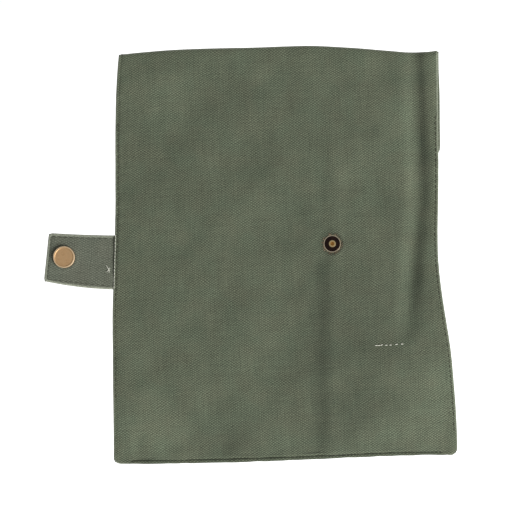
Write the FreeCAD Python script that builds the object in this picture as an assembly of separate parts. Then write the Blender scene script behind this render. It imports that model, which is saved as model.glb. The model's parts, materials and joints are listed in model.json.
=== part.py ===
"""Roll-up brush case in twill, lying flat with its outer face up.

X is the rolling direction, Y runs along the brushes, Z is up.
The cloth is divided into eight panels at the sewn channel lines, where it folds.
Panel 1 carries the strap and panel 6 carries the stud.
Depths are measured down from the outer face.
"""

import FreeCAD
import Part

import math
import os

os.makedirs("parts", exist_ok=True)

V = FreeCAD.Vector
UP = V(0, 0, 1)

# Cloth thicknesses, and the air between two plies
SHELL_T = 0.8
LINING_T = 0.6
POCKET_T = 0.6
FLAP_T = 1.4
STRAP_PLY_T = 0.6
PLY_GAP = 0.1

# Depths of the plies under the outer face
LINING_TOP = SHELL_T + PLY_GAP
LINING_BOTTOM = LINING_TOP + LINING_T
POCKET_TOP = LINING_BOTTOM + PLY_GAP
POCKET_BOTTOM = POCKET_TOP + POCKET_T
BELLY = 5.5
OUTER_FACE_Z = POCKET_BOTTOM + BELLY

# Folds: X of each sewn line, and the gap left open there
FOLDS = [-62.2, -35.2, -8.2, 18.8, 45.8, 72.8, 105.0]
PANELS = len(FOLDS) + 1
FOLD_GAP = 0.1
FAR = 400.0

# Outline of the spread case, one list a side, clockwise from the top left
TOP_SIDE = [(-78.2, 141.3), (-32.0, 142.6), (16.9, 141.4), (53.7, 140.6), (74.0, 138.6),
            (106.5, 134.4), (125.4, 132.5), (136.0, 133.1)]
RIGHT_SIDE = [(137.3, 132.0), (135.8, 91.3), (133.0, 31.5), (131.1, -6.5), (132.2, -29.7),
              (136.0, -66.7), (137.6, -95.0), (137.9, -126.7), (137.6, -137.0)]
BOTTOM_SIDE = [(132.5, -142.4), (84.6, -140.9), (20.0, -140.6), (-37.8, -139.4), (-88.0, -137.6)]
LEFT_SIDE = [(-96.3, -130.5), (-94.7, -93.4), (-91.4, -22.7), (-87.7, 23.4), (-83.8, 96.7),
             (-79.6, 140.0)]
CORNERS = [(137.4, 133.3), (137.4, -142.3), (-96.6, -137.3), (-79.4, 141.4)]

# Rolled welt along the bottom edge
WELT_R = 1.1
WELT_BAND = 2.5

# Brush pocket
LINING_INSET = 1.0
MOUTH_Y = -6.0
CHANNEL_MARGIN = 0.4
POCKET_FIRST_X = -84.0
POCKET_LAST_X = 131.0
CLOSE_START_Y = -124.0
CLOSE_END_Y = -135.0
CREST_W = 4.0
CURVE_STATIONS = 7

# Turned-in flap at the top edge, folded along one straight line
FLAP_FOLD_LEFT = (-79.0, 141.2)
FLAP_FOLD_RIGHT = (137.0, 131.9)
FLAP_DEPTH = 71.0
FLAP_CLEAR = 0.3
FLAP_SIDE_GAPS = [0.5, 0.5, 0.5, 0.5, 0.5, 1.0, 1.2]
FLAP_LEFT_X = -78.8
FLAP_RIGHT_X = 137.4
FLAP_RIGHT_FOOT_X = 135.4

# Strap: outline, the line where it leaves the case and the line where it bends
STRAP_SIDES = [[(-80.0, 18.0), (-91.0, 18.6), (-130.0, 22.0)],
               [(-133.4, 19.6), (-137.6, -7.6)],
               [(-135.4, -11.0), (-91.0, -18.4), (-80.0, -19.0)]]
STRAP_CORNERS = [(-132.8, 22.2), (-138.2, -10.5)]
STRAP_ROOT_X = -91.3
STRAP_BEND_X = -110.5
STRAP_TAB_END_X = -87.2
STRAP_ROOT_GAP = 0.6
STRAP_BEND_GAP = 0.9
STRAP_TOP = LINING_TOP
STRAP_MIDDLE = STRAP_TOP + STRAP_PLY_T
STRAP_INNER_TOP = STRAP_MIDDLE + PLY_GAP
STRAP_BOTTOM = STRAP_INNER_TOP + STRAP_PLY_T
TAB_NOTCH_Y = 20.0
TAB_NOTCH_CLEAR = 0.2

# Press snap: cap and socket on the strap, stud and post on panel 6
CAP_X = -123.2
STUD_X = 59.3
SNAP_Y = 5.35
CAP_R = 7.5
CAP_RIM_W = 1.1
CAP_TOP = -0.9
CAP_RIM_TOP = -1.2
CAP_BOTTOM = STRAP_TOP - 0.1
RIVET_R = 1.5
RIVET_HOLE_R = 1.7
RIVET_END_R = 2.2
SOCKET_R = 6.3
SOCKET_TOP = STRAP_BOTTOM + 0.1
SOCKET_FLOOR = SOCKET_TOP + 0.4
SOCKET_BOTTOM = SOCKET_TOP + 3.1
SOCKET_BORE_R = 2.8
SPRING_GROOVE_R = 3.2
SPRING_WIRE_R = 0.35
SPRING_RING_R = 2.7
SPRING_DEPTH = SOCKET_BOTTOM - 0.65
SPRING_OPENING_DEG = 30.0
STUD_RIM_R = 5.9
STUD_RIM_W = 0.7
STUD_RIM_H = 1.2
STUD_DISH_H = 0.4
STUD_NECK_R = 2.15
STUD_KNOB_R = 2.5
STUD_NECK_END_H = 2.2
STUD_KNOB_START_H = 2.5
STUD_TOP_H = 3.5
STUD_DIMPLE_R = 1.1
STUD_DIMPLE_DEPTH = 0.4
STUD_BORE_R = 1.55
STUD_BORE_TOP_H = 2.4
POST_TOP_H = 2.2
POST_FLANGE_R = 4.8
POST_FLANGE_T = 0.6

# Sewing thread
STITCH_LENGTH = 2.6
STITCH_PITCH = 3.6
STITCH_WIDTH = 0.45
STITCH_T = 0.25
STITCH_LIFT = 0.03
EDGE_STITCH_INSET = 2.0
CHANNEL_STITCH_OFFSET = 0.9
STRAP_STITCH_INSET = 2.2
TACK_Y = -65.1
TACK_RUNS = [(85.0, 90.5), (92.0, 93.4), (94.8, 96.2), (98.2, 101.0), (102.6, 104.2)]


def z_at(depth):
    return OUTER_FACE_Z - depth


def spline(points):
    curve = Part.BSplineCurve()
    curve.interpolate([V(x, y, 0) for x, y in points])
    return curve.toShape()


def rounded_corner(start, corner, end):
    curve = Part.BezierCurve()
    curve.setPoles([V(*start, 0), V(*corner, 0), V(*end, 0)])
    return curve.toShape()


def shifted(points, dx, dy):
    return [(x + dx, y + dy) for x, y in points]


def case_face(inset=0.0, bottom_rise=0.0):
    """Flat outline of the spread case, moved in at its sides and top and up at its bottom."""
    sides = [shifted(TOP_SIDE, 0, -inset), shifted(RIGHT_SIDE, -inset, 0),
             shifted(BOTTOM_SIDE, 0, bottom_rise), shifted(LEFT_SIDE, inset, 0)]
    moves = [(-inset, -inset), (-inset, bottom_rise), (inset, bottom_rise), (inset, -inset)]
    edges = []
    for index, side in enumerate(sides):
        following = sides[(index + 1) % len(sides)]
        corner = shifted([CORNERS[index]], *moves[index])[0]
        edges.append(spline(side))
        edges.append(rounded_corner(side[-1], corner, following[0]))
    return Part.Face(Part.Wire(edges))


def layer(face, top, bottom):
    """Sheet between two depths."""
    sheet = face.copy()
    sheet.translate(V(0, 0, z_at(bottom)))
    return sheet.extrude(V(0, 0, bottom - top))


def block(x0, x1, y0, y1, top, bottom):
    return Part.makeBox(x1 - x0, y1 - y0, bottom - top, V(x0, y0, z_at(bottom)))


def disc(x, y, radius, top, bottom):
    return Part.makeCylinder(radius, bottom - top, V(x, y, z_at(bottom)), UP)


def panel_limits(panel):
    """X of the two ends of a panel, half the fold gap in from each fold line."""
    low = -FAR if panel == 1 else FOLDS[panel - 2] + FOLD_GAP / 2
    high = FAR if panel == PANELS else FOLDS[panel - 1] - FOLD_GAP / 2
    return low, high


def slab(low, high):
    return block(low, high, -FAR, FAR, -FAR, FAR)


def solids_of(shape):
    return Part.makeCompound(shape.Solids) if len(shape.Solids) > 1 else shape.Solids[0]


def height_on(points, x):
    """Y of a side, taken straight between its points, extended past both ends."""
    ordered = sorted(points)
    for (x0, y0), (x1, y1) in zip(ordered, ordered[1:]):
        if x <= x1:
            break
    return y0 + (y1 - y0) * (x - x0) / (x1 - x0)


def walk(points, pitch, length):
    """Centre and heading of each stitch along a polyline."""
    places = []
    for (x0, y0), (x1, y1) in zip(points, points[1:]):
        run = math.hypot(x1 - x0, y1 - y0)
        heading = math.degrees(math.atan2(y1 - y0, x1 - x0))
        count = int((run - length) // pitch) + 1
        slack = (run - (count - 1) * pitch) / 2
        for index in range(count):
            part_way = (slack + index * pitch) / run
            places.append((x0 + (x1 - x0) * part_way, y0 + (y1 - y0) * part_way, heading))
    return places


def stitch(x, y, heading, top, length=STITCH_LENGTH):
    """One straight stitch with rounded ends, STITCH_T thick."""
    bar = Part.makeBox(length, STITCH_WIDTH, STITCH_T, V(-length / 2, -STITCH_WIDTH / 2, 0))
    upright = [edge for edge in bar.Edges if abs(edge.tangentAt(edge.FirstParameter).z) > 0.99]
    bar = bar.makeFillet(STITCH_WIDTH * 0.45, upright)
    bar.rotate(V(0, 0, 0), UP, heading)
    bar.translate(V(x, y, z_at(top + STITCH_T)))
    return bar


def stitches(points, top, low=-FAR, high=FAR):
    places = walk(points, STITCH_PITCH, STITCH_LENGTH)
    return Part.makeCompound([stitch(*place, top) for place in places if low < place[0] < high])


def outer_shell(panel):
    shell = layer(case_face(0.0, WELT_BAND), 0, SHELL_T).common(slab(*panel_limits(panel)))
    if panel == 6:
        shell = shell.cut(disc(STUD_X, SNAP_Y, RIVET_HOLE_R, -1, SHELL_T + 1))
    return shell


def strap_notch():
    """Room in the inner plies for the strap end sewn into the side seam."""
    inner_x = STRAP_TAB_END_X + TAB_NOTCH_CLEAR
    return block(-FAR, inner_x, -TAB_NOTCH_Y, TAB_NOTCH_Y, LINING_TOP - PLY_GAP / 2, FAR)


def lining(panel):
    ply = layer(case_face(LINING_INSET, WELT_BAND), LINING_TOP, LINING_BOTTOM)
    ply = ply.common(slab(*panel_limits(panel)))
    if panel == 1:
        ply = ply.cut(strap_notch())
    if panel == 6:
        ply = ply.cut(disc(STUD_X, SNAP_Y, RIVET_HOLE_R, -1, LINING_BOTTOM + 1))
    return ply


def channel_limits(panel):
    low, high = panel_limits(panel)
    low = POCKET_FIRST_X if panel == 1 else low + CHANNEL_MARGIN
    high = POCKET_LAST_X if panel == PANELS else high - CHANNEL_MARGIN
    return low, high


def belly_curve(start, end, y, base, belly):
    """Edge from a sewn line (start) down to the crest of the belly (end)."""
    points = []
    for index in range(CURVE_STATIONS):
        along = index / (CURVE_STATIONS - 1)
        swell = 0.5 - 0.5 * math.cos(math.pi * along)
        points.append(V(start + (end - start) * along, y, z_at(base + belly * swell)))
    curve = Part.BSplineCurve()
    curve.interpolate(points)
    return curve.toShape()


def channel_section(panel, y, belly):
    """Closed section of the pocket cloth across one panel."""
    low, high = channel_limits(panel)
    start = low if panel == 1 else panel_limits(panel)[0]
    end = high if panel == PANELS else panel_limits(panel)[1]
    crest_low = (low + high - CREST_W) / 2
    crest_high = (low + high + CREST_W) / 2
    edges = []
    lines = [((start, POCKET_TOP), (start, POCKET_BOTTOM)), ((end, POCKET_TOP), (end, POCKET_BOTTOM))]
    for base in (POCKET_TOP, POCKET_BOTTOM):
        edges.append(belly_curve(low, crest_low, y, base, belly))
        edges.append(belly_curve(high, crest_high, y, base, belly))
        lines.append(((crest_low, base + belly), (crest_high, base + belly)))
        lines.append(((start, base), (low, base)))
        lines.append(((high, base), (end, base)))
    for first, second in lines:
        if first != second:
            ends = [V(x, y, z_at(depth)) for x, depth in (first, second)]
            edges.append(Part.LineSegment(*ends).toShape())
    return Part.Wire(Part.__sortEdges__(edges))


def channel(panel):
    """Pocket cloth over one brush: open at the mouth, closing to flat at the bottom seam."""
    sections = [channel_section(panel, MOUTH_Y, BELLY)]
    sections.append(channel_section(panel, CLOSE_START_Y, BELLY))
    sections.append(channel_section(panel, CLOSE_END_Y, 0.0))
    return Part.makeLoft(sections, True, True)


def welt(panel):
    """Round edge where the pocket cloth is turned up over the bottom of the case."""
    low, high = panel_limits(panel)
    low = max(low, LEFT_SIDE[0][0])
    high = min(high, RIGHT_SIDE[-1][0])
    start = V(low, height_on(BOTTOM_SIDE, low) + WELT_R, z_at(WELT_R))
    run = V(high, height_on(BOTTOM_SIDE, high) + WELT_R, z_at(WELT_R)) - start
    roll = Part.makeCylinder(WELT_R, run.Length, start, run)
    return roll.common(layer(case_face(), -1, FAR)).common(slab(*panel_limits(panel)))


def hem(panel):
    """Flat pocket cloth below the channel, and beside it on the two end panels."""
    sheet = layer(case_face(LINING_INSET, WELT_R), POCKET_TOP, POCKET_BOTTOM)
    sheet = sheet.common(slab(*panel_limits(panel)))
    sheet = sheet.common(block(-FAR, FAR, -FAR, MOUTH_Y, -FAR, FAR))
    low = POCKET_FIRST_X if panel == 1 else -FAR
    high = POCKET_LAST_X if panel == PANELS else FAR
    return sheet.cut(block(low, high, CLOSE_END_Y, FAR, -FAR, FAR))


def pocket(panel):
    cloth = channel(panel).fuse([hem(panel), welt(panel)])
    if panel == 1:
        cloth = cloth.cut(strap_notch())
    return cloth.removeSplitter()


def flap(panel):
    low = FLAP_LEFT_X if panel == 1 else FOLDS[panel - 2] + FLAP_SIDE_GAPS[panel - 2]
    high = FLAP_RIGHT_X if panel == PANELS else FOLDS[panel - 1] - FLAP_SIDE_GAPS[panel - 1]
    fold_line = [FLAP_FOLD_LEFT, FLAP_FOLD_RIGHT]
    top = [(x, height_on(fold_line, x) - FLAP_CLEAR) for x in (low, high)]
    right_foot, left_foot = shifted(top[::-1], 0, -FLAP_DEPTH)
    if panel == PANELS:
        right_foot = (FLAP_RIGHT_FOOT_X, right_foot[1])
    corners = [V(x, y, 0) for x, y in top + [right_foot, left_foot]]
    face = Part.Face(Part.makePolygon(corners + corners[:1]))
    return layer(face, POCKET_TOP, POCKET_TOP + FLAP_T)


def strap_face():
    edges = [spline(side) for side in STRAP_SIDES]
    edges.insert(1, rounded_corner(STRAP_SIDES[0][-1], STRAP_CORNERS[0], STRAP_SIDES[1][0]))
    edges.insert(3, rounded_corner(STRAP_SIDES[1][-1], STRAP_CORNERS[1], STRAP_SIDES[2][0]))
    sewn_end = Part.LineSegment(V(*STRAP_SIDES[2][-1], 0), V(*STRAP_SIDES[0][0], 0))
    edges.append(sewn_end.toShape())
    return Part.Face(Part.Wire(edges))


def strap_piece(low, high, top, bottom):
    return layer(strap_face(), top, bottom).common(slab(low, high))


def strap_tab():
    """End of the strap held inside the side seam."""
    low = STRAP_ROOT_X + STRAP_ROOT_GAP / 2
    return strap_piece(low, STRAP_TAB_END_X, STRAP_TOP, STRAP_BOTTOM)


def strap_base(top, bottom):
    low = STRAP_BEND_X + STRAP_BEND_GAP / 2
    return strap_piece(low, STRAP_ROOT_X - STRAP_ROOT_GAP / 2, top, bottom)


def strap_tip(top, bottom):
    ply = strap_piece(-FAR, STRAP_BEND_X - STRAP_BEND_GAP / 2, top, bottom)
    return ply.cut(disc(CAP_X, SNAP_Y, RIVET_HOLE_R, -FAR, FAR))


def strap_stitch_line():
    """Corners of the topstitching, set in from the strap's edge."""
    inset = STRAP_STITCH_INSET
    return [(STRAP_ROOT_X, 18.4 - inset), (-132.4 + inset, 22.0 - inset),
            (-137.6 + inset, -10.2 + inset), (STRAP_ROOT_X, -18.2 + inset)]


def strap_thread(low, high):
    return stitches(strap_stitch_line(), STRAP_TOP - STITCH_T - STITCH_LIFT, low, high)


def turned(x, y, profile):
    """Solid turned about an upright axis, from (radius, depth) points."""
    points = [V(x + radius, y, z_at(depth)) for radius, depth in profile]
    outline = Part.makePolygon(points + points[:1])
    return Part.Face(outline).revolve(V(x, y, 0), UP, 360)


def snap_cap():
    """Flat disc with a slightly raised rim, and the hollow rivet that holds it."""
    return turned(CAP_X, SNAP_Y, [
        (0.0, CAP_TOP), (CAP_R - CAP_RIM_W - 0.4, CAP_TOP), (CAP_R - CAP_RIM_W, CAP_RIM_TOP),
        (CAP_R - 0.4, CAP_RIM_TOP), (CAP_R, CAP_TOP + 0.2), (CAP_R, CAP_BOTTOM - 0.4),
        (CAP_R - 0.4, CAP_BOTTOM), (RIVET_R, CAP_BOTTOM), (RIVET_R, SOCKET_FLOOR + 0.05),
        (RIVET_END_R, SOCKET_FLOOR + 0.05), (RIVET_END_R, SOCKET_FLOOR + 0.3),
        (RIVET_R * 0.6, SOCKET_FLOOR + 0.3), (RIVET_R * 0.6, CAP_BOTTOM + 0.4),
        (0.0, CAP_BOTTOM + 0.4)])


def snap_socket():
    groove_top = SPRING_DEPTH - SPRING_WIRE_R - 0.1
    groove_bottom = SPRING_DEPTH + SPRING_WIRE_R + 0.05
    return turned(CAP_X, SNAP_Y, [
        (RIVET_R + 0.1, SOCKET_TOP), (SOCKET_R - 1.0, SOCKET_TOP), (SOCKET_R, SOCKET_TOP + 0.7),
        (SOCKET_R, SOCKET_BOTTOM - 0.4), (SOCKET_R - 0.4, SOCKET_BOTTOM),
        (SOCKET_BORE_R + 0.2, SOCKET_BOTTOM), (SOCKET_BORE_R, SOCKET_BOTTOM - 0.2),
        (SOCKET_BORE_R, groove_bottom), (SPRING_GROOVE_R, groove_bottom),
        (SPRING_GROOVE_R, groove_top), (SOCKET_BORE_R, groove_top),
        (SOCKET_BORE_R, SOCKET_FLOOR), (RIVET_R + 0.1, SOCKET_FLOOR)])


def snap_spring():
    """Open wire ring that grips the neck of the stud."""
    centre = V(CAP_X, SNAP_Y, z_at(SPRING_DEPTH))
    turn = 360 - SPRING_OPENING_DEG
    return Part.makeTorus(SPRING_RING_R, SPRING_WIRE_R, centre, UP, 0, 360, turn)


def snap_stud():
    """Dished disc with a raised rim and a necked knob with a dimple."""
    lift = STITCH_LIFT
    return turned(STUD_X, SNAP_Y, [
        (STUD_BORE_R, -lift), (STUD_RIM_R, -lift), (STUD_RIM_R, 0.3 - STUD_RIM_H),
        (STUD_RIM_R - 0.3, -STUD_RIM_H), (STUD_RIM_R - STUD_RIM_W, -STUD_RIM_H),
        (STUD_RIM_R - STUD_RIM_W - 0.4, -STUD_DISH_H), (STUD_NECK_R, -STUD_DISH_H),
        (STUD_NECK_R, -STUD_NECK_END_H), (STUD_KNOB_R, -STUD_KNOB_START_H),
        (STUD_KNOB_R, 0.4 - STUD_TOP_H), (STUD_KNOB_R - 0.4, -STUD_TOP_H),
        (STUD_DIMPLE_R, -STUD_TOP_H), (STUD_DIMPLE_R - 0.4, STUD_DIMPLE_DEPTH - STUD_TOP_H),
        (0.0, STUD_DIMPLE_DEPTH - STUD_TOP_H), (0.0, -STUD_BORE_TOP_H),
        (STUD_BORE_R, -STUD_BORE_TOP_H)])


def snap_post():
    """Rivet behind the cloth that holds the stud."""
    flange_top = LINING_BOTTOM + 0.05
    return turned(STUD_X, SNAP_Y, [
        (0.0, -POST_TOP_H), (RIVET_R, -POST_TOP_H), (RIVET_R, flange_top),
        (POST_FLANGE_R, flange_top), (POST_FLANGE_R, flange_top + POST_FLANGE_T * 0.5),
        (POST_FLANGE_R - 0.3, flange_top + POST_FLANGE_T), (0.0, flange_top + POST_FLANGE_T)])


def channel_thread(fold):
    """Stitching of the channel line at a fold, on the inner side."""
    x = FOLDS[fold - 1] - CHANNEL_STITCH_OFFSET
    return stitches([(x, MOUTH_Y - 1), (x, CLOSE_END_Y)], POCKET_BOTTOM + STITCH_LIFT * 2)


def edge_thread(side, inset):
    """Topstitching beside one edge of the case."""
    line = [(x + inset, y) for x, y in side[1:-1]]
    return stitches(line, -STITCH_T - STITCH_LIFT)


def tack_stitches():
    """Short row of pale stitches showing on the outer face."""
    top = -STITCH_T - STITCH_LIFT
    runs = [stitch((x0 + x1) / 2, TACK_Y, 0, top, x1 - x0) for x0, x1 in TACK_RUNS]
    return Part.makeCompound(runs)


def save(node, shape):
    solids_of(shape).exportStep("parts/" + node + ".step")


for number in range(1, PANELS + 1):
    save("outer_shell_%d" % number, outer_shell(number))
    save("lining_%d" % number, lining(number))
    save("pocket_%d" % number, pocket(number))
    save("flap_%d" % number, flap(number))
for number in range(1, PANELS):
    save("channel_thread_%d" % number, channel_thread(number))
save("left_edge_thread", edge_thread(LEFT_SIDE, EDGE_STITCH_INSET))
save("right_edge_thread", edge_thread(RIGHT_SIDE, -EDGE_STITCH_INSET))
save("strap_tab", strap_tab())
save("strap_outer_ply_base", strap_base(STRAP_TOP, STRAP_MIDDLE))
save("strap_inner_ply_base", strap_base(STRAP_INNER_TOP, STRAP_BOTTOM))
save("strap_outer_ply_tip", strap_tip(STRAP_TOP, STRAP_MIDDLE))
save("strap_inner_ply_tip", strap_tip(STRAP_INNER_TOP, STRAP_BOTTOM))
save("strap_thread_base", strap_thread(STRAP_BEND_X + STITCH_PITCH / 2, FAR))
save("strap_thread_tip", strap_thread(-FAR, STRAP_BEND_X - STITCH_PITCH / 2))
save("snap_cap", snap_cap())
save("snap_socket", snap_socket())
save("snap_spring", snap_spring())
save("snap_stud", snap_stud())
save("snap_post", snap_post())
save("tack_stitches", tack_stitches())
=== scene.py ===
import json
import math

import bpy
import numpy as np
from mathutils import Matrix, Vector


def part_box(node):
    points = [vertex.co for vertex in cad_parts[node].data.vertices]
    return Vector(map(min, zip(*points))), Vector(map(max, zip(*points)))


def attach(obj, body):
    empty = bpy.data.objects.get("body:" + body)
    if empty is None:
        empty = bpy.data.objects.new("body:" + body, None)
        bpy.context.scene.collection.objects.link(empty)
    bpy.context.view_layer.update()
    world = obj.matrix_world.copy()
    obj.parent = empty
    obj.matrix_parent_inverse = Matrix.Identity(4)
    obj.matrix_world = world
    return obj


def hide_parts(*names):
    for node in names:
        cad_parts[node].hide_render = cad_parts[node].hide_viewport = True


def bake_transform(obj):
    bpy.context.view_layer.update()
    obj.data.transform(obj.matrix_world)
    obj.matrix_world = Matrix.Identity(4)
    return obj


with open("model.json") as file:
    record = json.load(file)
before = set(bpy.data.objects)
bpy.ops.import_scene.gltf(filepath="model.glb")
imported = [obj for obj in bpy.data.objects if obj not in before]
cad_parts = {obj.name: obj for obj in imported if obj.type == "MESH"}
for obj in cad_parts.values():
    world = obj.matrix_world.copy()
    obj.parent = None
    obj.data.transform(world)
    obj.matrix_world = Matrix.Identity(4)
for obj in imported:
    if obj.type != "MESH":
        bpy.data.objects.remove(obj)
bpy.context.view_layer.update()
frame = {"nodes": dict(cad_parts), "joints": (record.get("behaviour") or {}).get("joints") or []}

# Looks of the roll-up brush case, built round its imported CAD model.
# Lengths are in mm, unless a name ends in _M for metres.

MM = 0.001

# ---- dimensions read from the CAD model
JOINTS = {joint["name"]: joint for joint in frame["joints"]}
PANELS = 8


def box_mm(node):
    low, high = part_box(node)
    return np.array(low) / MM, np.array(high) / MM


def middle_mm(node):
    low, high = box_mm(node)
    return (low + high) / 2


def joint_mm(name):
    return np.array(JOINTS[name]["pos_m"]) / MM


FOLDS = [joint_mm(f"roll_fold_{k}")[0] for k in range(1, PANELS)]
LOWER, UPPER = 0, 1
FACE_Z = box_mm("outer_shell_3")[UPPER][2]


def depth(node, side):
    """How far a CAD node's lower or upper side lies below the outer face."""
    return FACE_Z - box_mm(node)[side][2]


SHELL_T = depth("outer_shell_3", LOWER)
LINING_TOP = depth("lining_3", UPPER)
LINING_T = depth("lining_3", LOWER) - LINING_TOP
POCKET_TOP = depth("pocket_3", UPPER)
MOUTH_Y = box_mm("pocket_3")[1][1]
FLAP_TOP = depth("flap_3", UPPER)
FLAP_BOTTOM = depth("flap_3", LOWER)
STRAP_TOP = depth("strap_outer_ply_base", UPPER)
STRAP_BOTTOM = depth("strap_inner_ply_base", LOWER)
STRAP_TAB_X = box_mm("strap_tab")[1][0]
ROOT_X = joint_mm("strap_root_bend")[0]
BEND_X = joint_mm("strap_middle_bend")[0]
STUD = middle_mm("snap_stud")
CAP = middle_mm("snap_cap")
STUD_R = (box_mm("snap_stud")[1][0] - box_mm("snap_stud")[0][0]) / 2
CAP_R = (box_mm("snap_cap")[1][0] - box_mm("snap_cap")[0][0]) / 2

# ---- dimensions of the cloth
WELT_BAND = 2.5
LOWERED_REACH = 30
WELT_R = (1.35, 1.15)
SEAM_RISE = 3.1
CORNER_R = (1.6, 3.4)
POCKET_T = LINING_T
SIDE_INSET = 1.0
POCKET_SPAN = (-84.0, 131.0)
CHANNEL_GAP = 0.45
CREST = 4.0
CLOSE_FROM, CLOSE_TO = -124.0, -135.0
PITCH = 1.7
COARSE = 3.2
EDGE_STEPS = [0.0, 0.35, 0.8, 1.2, 1.6, 2.0, 2.4, 2.9, 3.6, 4.6, 6.0]
RIM_RINGS = 3
STITCH = dict(pitch=3.6, length=2.7, width=0.3, height=0.2)


# ---- small tools
def srgb(red, green, blue):
    def channel(value):
        value /= 255
        return value / 12.92 if value <= 0.04045 else ((value + 0.055) / 1.055) ** 2.4
    return (channel(red), channel(green), channel(blue), 1.0)


def waves(x, y, length, seed):
    """Smooth seeded unevenness, about 1 high, with humps about `length` apart."""
    count = 16
    draw = np.random.default_rng(seed)
    total = np.zeros_like(x)
    for _ in range(count):
        turn, phase = draw.uniform(0, 2 * math.pi, 2)
        wave = length * draw.uniform(0.7, 1.5)
        along = x * math.cos(turn) + y * math.sin(turn)
        total = total + np.cos(2 * math.pi * along / wave + phase)
    return total / math.sqrt(count / 2)


def wave_sum(x, y, layers):
    """Sum of waves; each layer is (height, length, seed)."""
    return sum(height * waves(x, y, length, seed) for height, length, seed in layers)


def add_spots(values, x, y, spots):
    """Adds soft oval spots to values; each spot is (x, y, half width, half height, amount)."""
    for cx, cy, wx, wy, amount in spots:
        values = values + amount * np.exp(-((x - cx) / wx) ** 2 - ((y - cy) / wy) ** 2)
    return values


def bump(distance, width):
    return np.exp(-(distance / width) ** 2)


def smooth(value, low, high):
    t = np.clip((value - low) / (high - low), 0, 1)
    return t * t * (3 - 2 * t)


def unit(vectors):
    length = np.linalg.norm(vectors, axis=-1, keepdims=True)
    return vectors / np.maximum(length, 1e-12)


# ---- outline of the case
def upper_corners(nodes):
    """Corner points of the upper faces of CAD nodes that lie flat."""
    points = []
    for name in nodes:
        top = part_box(name)[1].z
        for vertex in frame["nodes"][name].data.vertices:
            if vertex.co.z > top - 0.02 * MM:
                points.append((vertex.co.x / MM, vertex.co.y / MM))
    return np.unique(np.round(np.array(points), 3), axis=0)


def four_sides(points, centre):
    """Splits a convex outline at its corners: left and right by y, bottom and top by x."""
    turn = np.arctan2(points[:, 1] - centre[1], points[:, 0] - centre[0])
    corner = {}
    for name, dx, dy in (("bl", -1, -1), ("br", 1, -1), ("tr", 1, 1), ("tl", -1, 1)):
        corner[name] = turn[np.argmax(points[:, 0] * dx + points[:, 1] * dy)]
    bottom = points[(turn >= corner["bl"]) & (turn <= corner["br"])]
    right = points[(turn >= corner["br"]) & (turn <= corner["tr"])]
    top = points[(turn >= corner["tr"]) & (turn <= corner["tl"])]
    left = points[(turn >= corner["tl"]) | (turn <= corner["bl"])]
    by_x = [side[np.argsort(side[:, 0])] for side in (bottom, top)]
    by_y = [side[np.argsort(side[:, 1])] for side in (left, right)]
    return by_y[0], by_y[1], by_x[0], by_x[1]


class Outline:
    """Sides of an outline as functions: left and right give x at y, bottom and top give y at x."""

    def __init__(self, left, right, bottom, top, low_y):
        self.left, self.right, self.bottom, self.top = left, right, bottom, top
        self.low_y = low_y

    def lowered(self, band):
        """The same outline with its bottom and bottom corners moved down."""
        def shifted(y):
            return y + band * (1 - smooth(y, self.low_y, self.low_y + LOWERED_REACH))

        return Outline(lambda y: self.left(shifted(y)), lambda y: self.right(shifted(y)),
                       lambda x: self.bottom(x) - band, self.top, self.low_y - band)

    def inset(self, side, bottom, top):
        return Outline(lambda y: self.left(y) + side, lambda y: self.right(y) - side,
                       lambda x: self.bottom(x) + bottom, lambda x: self.top(x) - top, self.low_y)


def outline_of(sides):
    left, right, bottom, top = sides
    return Outline(lambda y: np.interp(y, left[:, 1], left[:, 0]),
                   lambda y: np.interp(y, right[:, 1], right[:, 0]),
                   lambda x: np.interp(x, bottom[:, 0], bottom[:, 1]),
                   lambda x: np.interp(x, top[:, 0], top[:, 1]), left[0, 1])


# Corner points nearer than this to the snap's parts belong to their holes, not to the outline.
STUD_CLEAR = 20
CAP_CLEAR = 8


def shell_outline():
    points = upper_corners([f"outer_shell_{k}" for k in range(1, PANELS + 1)])
    far = np.hypot(points[:, 0] - STUD[0], points[:, 1] - STUD[1]) > STUD_CLEAR
    return outline_of(four_sides(points[far], (20.0, 0.0)))


def strap_outline():
    nodes = ["strap_outer_ply_tip", "strap_outer_ply_base", "strap_tab"]
    points = upper_corners(nodes)
    far = np.hypot(points[:, 0] - CAP[0], points[:, 1] - CAP[1]) > CAP_CLEAR
    inner = (points[:, 0] > -132) & (points[:, 0] < -88) & (np.abs(points[:, 1] - 1) < 14)
    return outline_of(four_sides(points[far & ~inner], (-112.0, 2.0)))


CASE = shell_outline().lowered(WELT_BAND)
STRAP = strap_outline()


# ---- grids over the case
def steps(width, pitch, fine_start=False, fine_end=False):
    """Distances from 0 to width: about one pitch apart, closer together at a real edge."""
    head = EDGE_STEPS if fine_start else [0.0]
    tail = [width - step for step in reversed(EDGE_STEPS)] if fine_end else [width]
    count = max(1, round((tail[0] - head[-1]) / pitch))
    inside = np.linspace(head[-1], tail[0], count + 1)[1:-1]
    return np.concatenate([head, inside, tail])


def corner_of(outline, at_left, at_bottom):
    x = outline.left(0.0) if at_left else outline.right(0.0)
    for _ in range(12):
        y = outline.bottom(x) if at_bottom else outline.top(x)
        x = outline.left(y) if at_left else outline.right(y)
    return float(x), float(y)


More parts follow.
